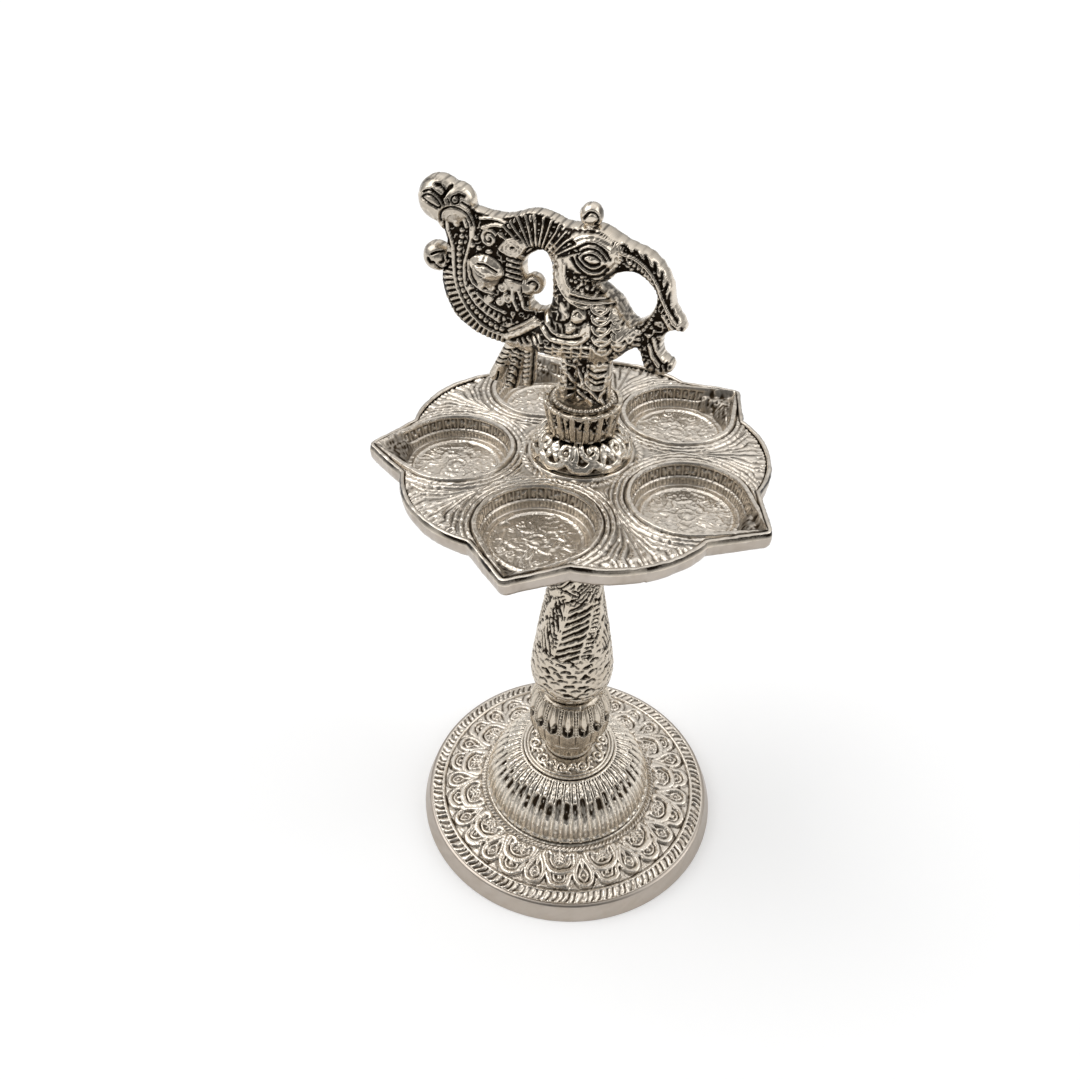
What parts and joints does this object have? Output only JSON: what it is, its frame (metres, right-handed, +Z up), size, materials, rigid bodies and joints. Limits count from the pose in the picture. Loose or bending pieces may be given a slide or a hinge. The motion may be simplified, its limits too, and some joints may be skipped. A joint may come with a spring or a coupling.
{
  "type": "multi-wick diya stand",
  "caption": "Table oil-lamp stand: pointed tray of round oil bowls on a baluster stem over a domed, ornamented foot, with a peacock finial that turns on the tie rod.",
  "frame": {"origin": "middle of the resting face under the foot, on the axis of the tie rod", "axes": "+Z up along the tie rod, +X the way the peacock faces, +Y to the peacock's left"},
  "size_m": [0.0912, 0.0904, 0.18],
  "materials": {
    "plated_metal": "bright silver-tone plating with dark antique patina in the recesses",
    "steel": "zinc-plated"
  },
  "bodies": {
    "stand": {"base_foot": "plated_metal", "knop": "plated_metal", "stem": "plated_metal", "flat_washer": "steel"},
    "tray": {"lamp_tray": "plated_metal", "rosette_collar": "plated_metal"},
    "finial": {"finial_pedestal": "plated_metal", "peacock": "plated_metal", "tie_rod": "steel", "spring_washer": "steel", "base_nut": "steel"}
  },
  "joints": [
    {"name": "tray_turn", "type": "hinge", "parent": "stand", "child": "tray", "pos_m": [0, 0, 0.1195], "axis": [0, 0, 1], "continuous": true},
    {"name": "finial_turn", "type": "hinge", "parent": "stand", "child": "finial", "pos_m": [0, 0, 0.1298], "axis": [0, 0, 1], "continuous": true}
  ]
}
